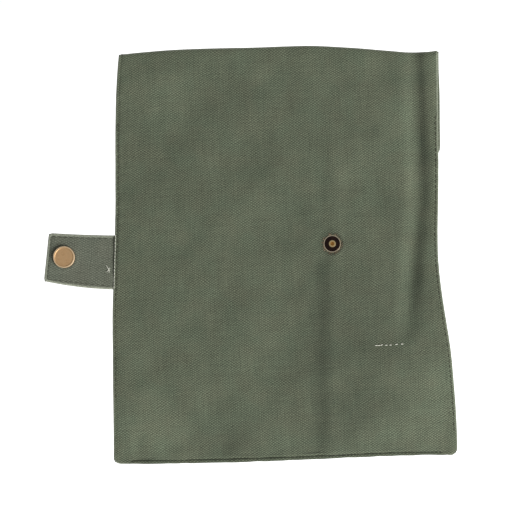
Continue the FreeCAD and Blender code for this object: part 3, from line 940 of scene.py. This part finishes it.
def build_pocket():
    area = CASE.inset(SIDE_INSET + POCKET_T / 2, WELT_BAND, 0.0)
    edge = MOUTH_Y - POCKET_T / 2
    area.top = lambda x: np.full_like(np.asarray(x, float), edge)
    x, y, middles = case_grid(area, PITCH, False)
    sheet = level_sheet(x, y, pocket_upper(x, y), POCKET_T, 0.35 * bump(MOUTH_Y - y, 1.2))
    panel_pieces(sheet, middles, "pocket_cloth", "pocket", "pocket_cloth", "pocket")


def welt_path(x):
    strength = welt_strength(x)
    y = CASE.bottom(x) + 0.45 + (WELT_R[0] - 0.45) * strength
    wobble = 0.1 * waves(x, y, 9.0, 21) + 0.12 * waves(x, y, 30.0, 22)
    z = FACE_Z - SHELL_T - 0.45 + relief(x, CASE.bottom(x)) + wobble * strength - 0.4 * (1 - strength)
    return np.stack([x, y, z], -1)


def build_welt():
    """Rolled edge along the bottom, where the pocket cloth is turned up over the shell."""
    left = corner_of(CASE, True, True)[0] + 3.0
    right = corner_of(CASE, False, True)[0] - 3.0
    middles = [left] + [(a + b) / 2 for a, b in zip(FOLDS, FOLDS[1:])] + [right]
    for k in range(1, PANELS):
        low, high = middles[k - 1], middles[k]
        x = np.linspace(low, high, max(12, round((high - low) / 1.3)))
        size = 0.25 + 0.75 * welt_strength(x)
        thick = 1 + 0.05 * waves(x, x * 0, 12.0, 23)
        radii = np.stack([WELT_R[0] * size * thick, WELT_R[1] * size * thick], -1)
        piece = tube(f"bottom_welt_{k}", welt_path(x), radii, "pocket", shade=0.22)
        blend_at_fold(piece)
        finish_piece(piece, "pocket_cloth")


# ---- top flap
RIM_R = 0.45
THIN_R = 0.22
NOSE_R = 0.75
THIN_REACH = 3.0
FLAP_HINGES = {k: joint_mm(f"flap_fold_{k}") for k in range(1, PANELS + 1)}


def hinge_y(x):
    """y of the straight slanted fold line of the flap at x."""
    first, last = FLAP_HINGES[1], FLAP_HINGES[PANELS]
    return first[1] + (x - first[0]) * (last[1] - first[1]) / (last[0] - first[0])


def flap_section(x):
    """Centre line of the flap cloth in the y-z plane at x: round the top edge, then down inside."""
    middle = FACE_Z - (FLAP_TOP + FLAP_BOTTOM) / 2
    turn = np.linspace(0.5 * math.pi, -0.5 * math.pi, 9)[1:]
    start_y = hinge_y(x) - 0.6
    nose_y = start_y + NOSE_R * np.cos(turn)
    nose_z = middle + NOSE_R + NOSE_R * np.sin(turn)
    length = box_mm("flap_3")[1][1] - box_mm("flap_3")[0][1] - 4.0
    run = np.concatenate([[0.8, 1.8, 3.2], np.linspace(5.5, length, 26)])
    y = np.concatenate([nose_y, start_y - run])
    z = np.concatenate([nose_z, np.full(len(run), middle)])
    return y, z


def flap_peek(y):
    """How far the flap's edge shows beyond the right edge of the case."""
    return -0.9 + 2.4 * smooth(y, 61, 67) * (1 - 0.2 * smooth(y, 100, 128))


def flap_relief(x, y, edge):
    """The flap follows the cloth; where that dips, a strip's thin edge (edge 1) stays nearer the pivots."""
    h = relief(x, y)
    return np.where(h < 0, np.minimum(0, h + 0.55 * edge), h)


def strip_end(k, y, cad_x):
    """Where a flap strip ends beside fold k: far enough off to clear its neighbour in the closed roll."""
    turn = math.radians(JOINTS[f"roll_fold_{k}"]["range_deg"][1])
    pivot_z = joint_mm(f"roll_fold_{k}")[2]
    middle = FACE_Z - (FLAP_TOP + FLAP_BOTTOM) / 2 + flap_relief(np.full_like(y, FOLDS[k - 1]), y, 1.0)
    under_pivot = pivot_z - middle + THIN_R + 0.12
    gap = np.maximum(0.1, math.tan(turn / 2) * under_pivot + 0.1) + THIN_R
    return FOLDS[k - 1] + gap * np.sign(cad_x - FOLDS[k - 1])


def build_flap():
    thickness = FLAP_BOTTOM - FLAP_TOP
    for k in range(1, PANELS + 1):
        low, high = box_mm(f"flap_{k}")
        low_x, high_x = low[0], high[0]
        r = thickness / 2
        columns = low_x + RIM_R + steps(high_x - low_x - 2 * RIM_R, 2.6, True, True)
        sections = [flap_section(x) for x in columns]
        y = np.stack([s[0] for s in sections], 1)[::-1]
        z = np.stack([s[1] for s in sections], 1)[::-1]
        start, end = columns[0], columns[-1]
        starts = np.full(y.shape[0], start) if k == 1 else strip_end(k - 1, y[:, 0], low_x)
        ends = np.full(y.shape[0], end) if k == PANELS else strip_end(k, y[:, -1], high_x)
        x = starts[:, None] + (columns - start)[None, :] / (end - start) * (ends - starts)[:, None]
        if k == PANELS:
            share = smooth(columns, low_x + 8, high_x)[None, :]
            x = x + share * (CASE.right(y) + flap_peek(y) - high_x)
        if k == 1:
            share = 1 - smooth(columns, low_x, high_x - 4)[None, :]
            x = x + share * np.maximum(CASE.left(y) + 1.0 - low_x, -1.5)
        edge = 0 if k == 1 else 1 - smooth(x - x[:, :1], 0.0, 6.0)
        edge = np.maximum(edge, 0 if k == PANELS else 1 - smooth(x[:, -1:] - x, 0.0, 6.0))
        sag = 0.12 * waves(x, y, 26.0, 31) * smooth(hinge_y(x) - y, 3, 14) - 0.12
        centre = np.stack([x, y, z + sag * (1 - edge) + flap_relief(x, y, edge)], -1)
        flap_solid(k, centre, r - 0.12)


def flap_solid(k, centre, r):
    """Closed flap strip round a curved centre surface."""
    normal = grid_normals(centre)
    rows, columns = centre.shape[:2]
    thick = np.full((rows, 1, 1), r)
    nose = np.linspace(1.0, 0.35, 8)[:, None, None]
    thick[-8:] = r * nose
    low_side, high_side = centre[..., 0] - centre[:, :1, 0], centre[:, -1:, 0] - centre[..., 0]
    far = np.full((rows, columns), 9.0)
    inner = np.minimum(far if k == 1 else low_side, far if k == PANELS else high_side)
    thick = THIN_R + (np.maximum(thick, THIN_R) - THIN_R) * smooth(inner, 0.0, THIN_REACH)[..., None]
    away = np.zeros_like(centre)
    away[:, 0] += (-1.0, 0, 0)
    away[:, -1] += (1.0, 0, 0)
    away[0] += (0, -1.0, 0)
    # Where the flap shows past the shell's right edge, its rim is pale, partly worn cloth and partly a
    # painted edge highlight; the band just inside the rim is darkened with painted shadow from the shell's
    # edge.
    near = np.minimum(low_side, high_side)
    outer = 1.0 if k == PANELS else 0.0
    wear = 0.6 * np.exp(-(near / 0.4) ** 2) * outer
    shade = 0.95 * smooth(near, 0.3, 0.9) * (near < 4) * outer
    run = np.concatenate([np.zeros((1, columns)),
                          np.cumsum(np.linalg.norm(np.diff(centre, axis=0), axis=2), 0)])
    uv = np.stack([centre[..., 0], run + 17.0], -1)
    sheet = Sheet(centre + normal * thick, centre - normal * thick, (normal, -normal), away,
                  np.minimum(thick[..., 0], RIM_R), wear, uv, shade)
    piece = sheet.piece(f"flap_cloth_{k}", 0, columns - 1, "flap")
    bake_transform(piece)
    finish_piece(piece, "flap_cloth", f"flap_{k}")


# ---- stitching
def on_surface(x, y, surface):
    """Points on a height function with its unit normals."""
    step = 0.3
    z = surface(x, y)
    slope_x = (surface(x + step, y) - surface(x - step, y)) / (2 * step)
    slope_y = (surface(x, y + step) - surface(x, y - step)) / (2 * step)
    return np.stack([x, y, z], -1), unit(np.stack([-slope_x, -slope_y, np.ones_like(x)], -1))


def along_surface(forward, ups):
    return unit(forward - ups * np.sum(forward * ups, -1, keepdims=True))


def run_of_stitches(name, x, y, surface, material, below=False, **size):
    """Stitches centred on the points (x, y), along the line they make."""
    flat = np.stack([x, y, np.zeros_like(x)], -1)
    forward = unit(np.gradient(flat, axis=0))
    centres, ups = on_surface(x, y, surface)
    if below:
        ups = -ups
    directions = along_surface(forward, ups)
    options = {key: value for key, value in {**STITCH, **size}.items() if key != "pitch"}
    return stitches(name, centres, directions, ups, material, **options)


def jitter(count, seed, amount):
    return np.random.default_rng(seed).normal(0, amount, count)


def build_edge_threads():
    for name, side, body, seed in (("left_edge_thread", "left", "panel_1", 41),
                                   ("right_edge_thread", "right", "panel_8", 42)):
        low, high = box_mm(name)
        y = np.arange(low[1] + 1.5, high[1] - 1, STITCH["pitch"])
        x = getattr(CASE, side)(y) + (2.0 if side == "left" else -2.0) + jitter(len(y), seed, 0.07)
        piece = run_of_stitches(f"{side}_topstitching", x, y, shell_height, "dark_thread")
        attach(piece, body)
        finish_piece(piece, "dark_thread", name)


def build_channel_threads():
    for k in range(1, PANELS):
        name = f"channel_thread_{k}"
        low, high = box_mm(name)
        y = np.arange(low[1] + 1.5, high[1] - 1, STITCH["pitch"])
        x = np.full_like(y, (low[0] + high[0]) / 2) + jitter(len(y), 50 + k, 0.06)

        def under(px, py):
            return pocket_upper(px, py) - POCKET_T

        piece = run_of_stitches(f"channel_stitching_{k}", x, y, under, "dark_thread", below=True)
        blend_at_fold(piece)
        finish_piece(piece, "dark_thread", name)


def node_runs(name):
    """Stretches along x that a CAD node's solids cover; each solid has corners only at its two ends."""
    xs = np.sort([v.co.x / MM for v in frame["nodes"][name].data.vertices])
    breaks = np.where(np.diff(xs) > 0.4)[0]
    starts = np.concatenate([[xs[0]], xs[breaks + 1]])
    ends = np.concatenate([xs[breaks], [xs[-1]]])
    return list(zip(starts[0::2], ends[1::2]))


def build_tack():
    middle = middle_mm("tack_stitches")
    draw = np.random.default_rng(61)
    centres, lengths = [], []
    for low, high in node_runs("tack_stitches"):
        count = max(1, round((high - low) / 2.0))
        marks = np.linspace(low, high, count + 1)
        for a, b in zip(marks, marks[1:]):
            centres.append(((a + b) / 2, middle[1] + draw.normal(0, 0.12)))
            lengths.append(b - a)
    centres = np.array(centres)
    points, ups = on_surface(centres[:, 0], centres[:, 1], shell_height)
    none = np.zeros(len(points))
    forward = unit(np.stack([none + 1, draw.normal(0, 0.07, len(points)), none], -1))
    length = float(np.mean(lengths)) * 0.94
    piece = stitches("tack_stitching", points, forward, ups, "pale_thread", length, 0.28, 0.2, 0.0)
    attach(piece, "panel_7")
    finish_piece(piece, "pale_thread", "tack_stitches")


FRAYED_REACH = 1.3
FIBRE = (1.3, 0.1, 0.12)


def build_frayed_ring():
    """Short cloth fibres round the stud, low enough to clear the socket in the closed roll."""
    draw = np.random.default_rng(91)
    count = 80
    turn = draw.uniform(0, 2 * math.pi, count)
    away = STUD_R + draw.uniform(0.0, FRAYED_REACH, count)
    centres, ups = on_surface(STUD[0] + away * np.cos(turn), STUD[1] + away * np.sin(turn), shell_height)
    lean = turn + draw.normal(0, 0.8, count)
    forward = np.stack([np.cos(lean), np.sin(lean), np.zeros(count)], -1)
    piece = stitches("stud_frayed_fibres", centres, along_surface(forward, ups), ups, "frayed",
                     *FIBRE, 0.0)
    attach(piece, "panel_6")


# ---- strap
STRAP_TILT = math.radians(98.0)
STRAP_WAVES = ((0.09, 16.0, 71), (0.03, 6.0, 72))
STRAP_PITCH = 1.0
STRAP_MIDDLE_X = -112.0
TAB_OVERLAP = 1.2
STRAP_STITCH = (2.6, 0.2, 0.13)
STRAP_STITCH_INSET = 2.2


def strap_height(x, y):
    wavy = wave_sum(x, y, STRAP_WAVES)
    r = np.hypot(x - CAP[0], y - CAP[1])
    quiet = 1 - bump(r, 10.0)
    near_root = smooth(x, ROOT_X - 8, ROOT_X)
    h = FACE_Z - STRAP_TOP + wavy * quiet * (1 - near_root)
    h = h + 0.28 * bump(r - CAP_R - 1.2, 1.1) * (1 - near_root)
    low, high = y - STRAP.bottom(x), STRAP.top(x) - y
    tip = x - STRAP.left(y)
    for edge in (low, high, tip):
        h = h - 0.34 * np.exp(-edge / 0.7) - 0.16 * bump(edge - 2.2, 0.55)
        h = h + 0.12 * bump(edge - 1.1, 0.6)
    return h


def strap_grid():
    r = (STRAP_BOTTOM - STRAP_TOP) / 2
    area = STRAP.inset(0.0, r, r)
    area.left = lambda y: STRAP.left(y) + r
    height = area.top(STRAP_MIDDLE_X) - area.bottom(STRAP_MIDDLE_X)
    v = steps(height, STRAP_PITCH, True, True) / height
    width = STRAP_TAB_X - TAB_OVERLAP - area.left(0.0)
    u = steps(width, STRAP_PITCH, True, False) / width
    x, y = end_patch(area, STRAP_TAB_X - TAB_OVERLAP, True, u, v)
    return x, y, r


def build_strap():
    x, y, r = strap_grid()
    near = np.minimum(np.minimum(y - STRAP.bottom(x), STRAP.top(x) - y), x - STRAP.left(y))
    # Pale rim along the strap's edges: partly worn cloth, partly a painted fold highlight.
    wear = 0.85 * np.exp(-((near - r) / 0.8) ** 2)
    turned = np.stack([x * math.cos(STRAP_TILT) - y * math.sin(STRAP_TILT),
                       x * math.sin(STRAP_TILT) + y * math.cos(STRAP_TILT)], -1)
    top = strap_height(x, y)
    thickness = np.minimum(top - (FACE_Z - STRAP_BOTTOM), STRAP_BOTTOM - STRAP_TOP + 0.1)
    sheet = level_sheet(x, y, top, thickness, wear, turned)
    sheet.radius = np.full(x.shape, r)
    row = x[x.shape[0] // 2]
    split = int(np.argmin(np.abs(row - (ROOT_X + BEND_X) / 2)))
    tip = sheet.piece("strap_tip_cloth", 0, split, "strap")
    base = sheet.piece("strap_base_cloth", split, x.shape[1] - 1, "strap")
    blend_at_root(base)
    blend_at_bend(tip)
    finish_piece(tip, "strap_twill", "strap_outer_ply_tip", "strap_inner_ply_tip")
    finish_piece(base, "strap_twill", "strap_outer_ply_base", "strap_inner_ply_base", "strap_tab")


def blend_at_root(obj):
    blend_along_x(obj)


def blend_at_bend(obj):
    blend_along_x(obj)


def strap_stitch_points():
    inset = STRAP_STITCH_INSET
    tip_low = (float(STRAP.left(-8.0)) + inset, float(STRAP.bottom(-133.0)) + inset + 0.3)
    tip_high = (float(STRAP.left(18.0)) + inset, float(STRAP.top(-130.0)) - inset - 0.3)
    corners = [(ROOT_X - 1.5, float(STRAP.top(ROOT_X)) - inset), tip_high, tip_low,
               (ROOT_X - 1.5, float(STRAP.bottom(ROOT_X)) + inset)]
    x, y, d = [], [], []
    for a, b in zip(corners, corners[1:]):
        a, b = np.array(a), np.array(b)
        length = np.linalg.norm(b - a)
        count = int(length / STITCH["pitch"])
        for i in range(count):
            point = a + (b - a) * (i + 0.5) / count
            x.append(point[0])
            y.append(point[1])
            d.append((b - a) / length)
    return np.array(x), np.array(y), np.array(d)


def build_strap_threads():
    x, y, d = strap_stitch_points()
    split = (ROOT_X + BEND_X) / 2
    for name, mask, place in (("strap_thread_base", x > split, blend_at_root),
                              ("strap_thread_tip", x <= split, blend_at_bend)):
        centres, ups = on_surface(x[mask], y[mask], strap_height)
        forward = np.concatenate([d[mask], np.zeros((mask.sum(), 1))], 1)
        piece = stitches(name.replace("thread", "topstitching"), centres, forward, ups, "dark_thread",
                         *STRAP_STITCH)
        place(piece)
        finish_piece(piece, "dark_thread", name)


def build_root_stitches():
    """Pale stitches where the strap is sewn into the side seam, and a loose thread end there."""
    y = np.arange(-16.8, 18.2, 2.3)
    x = CASE.left(y) + 0.55 + jitter(len(y), 81, 0.06)
    piece = run_of_stitches("seam_stitches", x, y, shell_height, "pale_thread",
                            length=1.9, width=0.2, height=0.14)
    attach(piece, "panel_1")
    finish_piece(piece, "pale_thread")
    ends = [(-95.2, -1.6), (-93.2, -6.8), (-94.6, -6.2), (-92.4, -3.4)]
    for i, (end_x, end_y) in enumerate(ends):
        t = np.linspace(0, 1, 12)
        start = np.array([-93.4, -4.9])
        x = start[0] + (end_x - start[0]) * t + 0.3 * np.sin(3 * t + i)
        y = start[1] + (end_y - start[1]) * t
        z = strap_height(x, y) + 0.12 + 0.35 * np.sin(math.pi * t)
        radii = np.full((len(t), 2), 0.24) * (1 - 0.5 * t[:, None])
        piece = tube(f"loose_thread_{i + 1}", np.stack([x, y, z], -1), radii, "pale_thread", spin=8, uv=0.4)
        blend_at_root(piece)
        finish_piece(piece, "pale_thread")


# ---- snap metal, kept from the CAD model
def finish_metal():
    for node, (name, centre, reach, stops) in METALS.items():
        roughness = CAP_ROUGHNESS if node == "snap_cap" else METAL_ROUGHNESS
        material = metal(name, centre, reach, stops, roughness)
        data = frame["nodes"][node].data
        data.materials.clear()
        data.materials.append(material)


# ---- stage
def plain(name, color, roughness, emission):
    n = Nodes(name)
    n.feed(n.shader.inputs["Base Color"], color)
    n.shader.inputs["Roughness"].default_value = roughness
    n.shader.inputs["Emission Color"].default_value = (1, 1, 1, 1)
    n.shader.inputs["Emission Strength"].default_value = emission
    return n.material


FLOOR_DEPTH = 360.0
FLOOR_HALF = 12000.0
CAMERA_HEIGHT = 851.0
CAMERA_AIM = (13.0, -6.8)
CAMERA_TURN = -2.84
KEY_FROM = Vector((0.66, -0.5, 0.56)).normalized()
KEY_AWAY_M = 2.0
KEY_SIZE_M = 1.0
KEY_WATTS = 60.0
SKY_STRENGTH = 0.34


def build_stage():
    half = FLOOR_HALF * MM
    mesh = bpy.data.meshes.new("floor")
    corners = [(-half, -half), (half, -half), (half, half), (-half, half)]
    mesh.from_pydata([(x, y, -FLOOR_DEPTH * MM) for x, y in corners], [], [(0, 1, 2, 3)])
    mesh.materials.append(plain("floor_white", (0.9, 0.9, 0.9, 1), 0.8, 0.45))
    placed("floor", mesh)


def build_light():
    world = bpy.data.worlds.new("studio")
    world.use_nodes = True
    background = world.node_tree.nodes["Background"]
    background.inputs[0].default_value = (1.0, 1.0, 1.0, 1)
    background.inputs[1].default_value = SKY_STRENGTH
    bpy.context.scene.world = world
    light = bpy.data.lights.new("key", "AREA")
    light.shape = "DISK"
    light.size = KEY_SIZE_M
    light.energy = KEY_WATTS
    key = placed("key", light)
    key.location = KEY_FROM * KEY_AWAY_M
    key.rotation_mode = "QUATERNION"
    key.rotation_quaternion = (-KEY_FROM).to_track_quat("-Z", "Y")


def build_camera():
    data = bpy.data.cameras.new("camera")
    data.lens = 85.0
    data.sensor_width = 36.0
    camera = placed("camera", data)
    camera.location = (CAMERA_AIM[0] * MM, CAMERA_AIM[1] * MM, (FACE_Z + CAMERA_HEIGHT) * MM)
    camera.rotation_euler = (0.0, 0.0, math.radians(CAMERA_TURN))
    bpy.context.scene.camera = camera


build_shell()
build_lining()
build_pocket()
build_welt()
build_flap()
build_edge_threads()
build_channel_threads()
build_tack()
build_frayed_ring()
build_strap()
build_strap_threads()
build_root_stitches()
finish_metal()
build_stage()
build_light()
build_camera()
bpy.context.scene.view_settings.view_transform = "Standard"
